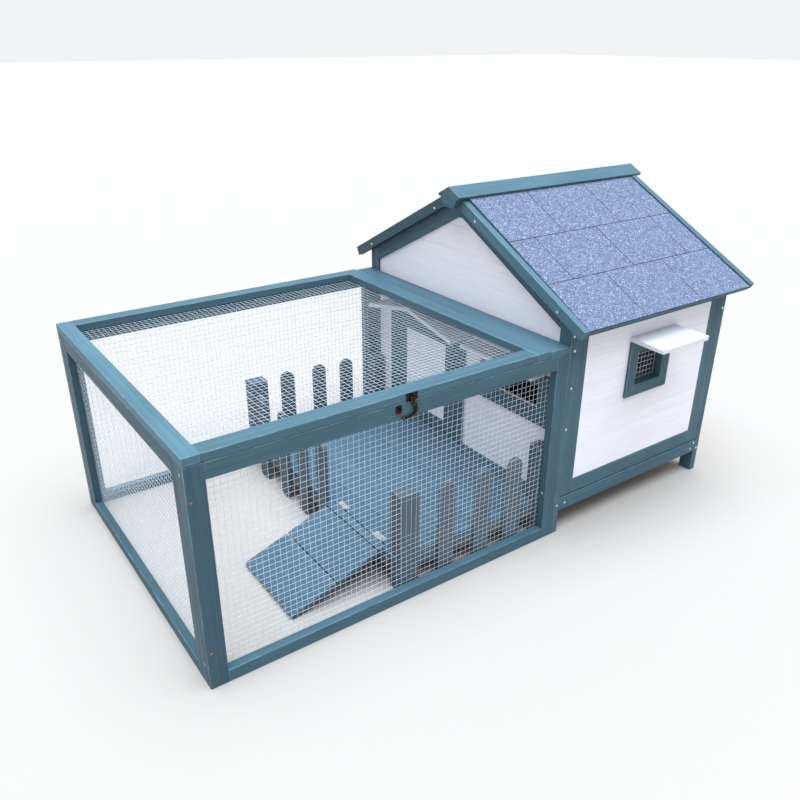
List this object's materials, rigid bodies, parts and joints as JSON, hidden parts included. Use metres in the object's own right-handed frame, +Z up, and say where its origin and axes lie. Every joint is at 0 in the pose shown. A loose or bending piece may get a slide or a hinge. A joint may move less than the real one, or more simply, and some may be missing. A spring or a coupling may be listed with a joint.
{
  "type": "chicken coop",
  "caption": "Wooden chicken coop: low wire-mesh run with hinged lid, fenced deck and ramp, and a gable-roofed hen house with pop door.",
  "frame": {"origin": "centre of the bounding box on the ground plane", "axes": "+X from the run towards the house, +Y from the front with the latch and window towards the rear, +Z up"},
  "size_m": [1.503, 0.933, 0.7804],
  "materials": {
    "stained_wood": "thin blue-green wood stain, satin, grain showing",
    "deck_wood": "paler blue-green wood stain, matt",
    "white_wood": "white wood stain, matt, grain and knots showing faintly",
    "shingle": "mineral-faced bitumen felt, speckled grit",
    "wire_mesh": "galvanised welded wire",
    "zinc": "bright zinc plate",
    "bronze": "antique bronze, worn bright on its edges"
  },
  "bodies": {
    "coop": {"run_front_left_post": "stained_wood", "run_front_right_post": "stained_wood", "run_front_top_rail": "stained_wood", "run_front_bottom_rail": "stained_wood", "run_rear_frame": "stained_wood", "run_end_frame": "stained_wood", "cross_board": "stained_wood", "house_left_end_frame": "stained_wood", "house_right_end_frame": "stained_wood", "front_wall_frame": "stained_wood", "rear_wall_frame": "stained_wood", "house_floor": "stained_wood", "front_window_trim": "stained_wood", "inner_window_trim": "stained_wood", "pop_door_trim": "stained_wood", "roof_rear_board": "stained_wood", "barge_rear_left": "stained_wood", "barge_rear_right": "stained_wood", "run_front_mesh": "wire_mesh", "run_rear_mesh": "wire_mesh", "run_end_mesh": "wire_mesh", "front_window_mesh": "wire_mesh", "lid_hinge_left_frame_leaf": "zinc", "lid_hinge_right_frame_leaf": "zinc", "roof_hinge_slope_leaf": "zinc", "ramp_hinge_front_deck_leaf": "zinc", "ramp_hinge_rear_deck_leaf": "zinc", "latch_catch": "bronze", "house_left_end_boards": "white_wood", "house_right_end_boards": "white_wood", "front_wall_boards": "white_wood", "rear_wall_boards": "white_wood", "front_window_awning": "white_wood", "inner_window_awning": "white_wood", "pop_door_hood": "white_wood", "roof_rear_shingles": "shingle", "deck_boards": "deck_wood", "front_fence": "deck_wood", "rear_fence": "deck_wood", "end_fence": "deck_wood"},
    "run_lid": {"lid_left_rail": "stained_wood", "lid_right_rail": "stained_wood", "lid_front_rail": "stained_wood", "lid_rear_rail": "stained_wood", "lid_mesh": "wire_mesh", "lid_hinge_left_lid_leaf": "zinc", "lid_hinge_right_lid_leaf": "zinc", "latch_plate": "bronze"},
    "latch_hook": {"latch_hook": "bronze"},
    "ramp": {"ramp": "deck_wood", "ramp_hinge_front_ramp_leaf": "zinc", "ramp_hinge_rear_ramp_leaf": "zinc"},
    "pop_door": {"pop_door_frame": "stained_wood", "pop_door_panel": "white_wood"},
    "roof_panel": {"roof_front_board": "stained_wood", "roof_front_shingles": "shingle", "barge_front_left": "stained_wood", "barge_front_right": "stained_wood", "ridge_cap": "stained_wood", "roof_hinge_cap_leaf": "zinc"}
  },
  "joints": [
    {"name": "lid_swing", "type": "hinge", "parent": "coop", "child": "run_lid", "pos_m": [-0.3365, 0.421, 0.4775], "axis": [-1, 0, 0], "range_deg": [0, 100]},
    {"name": "latch_swing", "type": "hinge", "parent": "run_lid", "child": "latch_hook", "pos_m": [-0.2955, -0.3768, 0.487], "axis": [0, -1, 0], "range_deg": [0, 110]},
    {"name": "ramp_fold", "type": "hinge", "parent": "coop", "child": "ramp", "pos_m": [-0.2975, -0.178, 0.096], "axis": [0, 1, 0], "range_deg": [0, 108]},
    {"name": "door_swing", "type": "hinge", "parent": "coop", "child": "pop_door", "pos_m": [0.134, 0.277, 0.25], "axis": [0, 0, -1], "range_deg": [0, 100]},
    {"name": "roof_open", "type": "hinge", "parent": "coop", "child": "roof_panel", "pos_m": [0.4245, 0.065, 0.7532], "axis": [-1, 0, 0], "range_deg": [0, 95]}
  ]
}
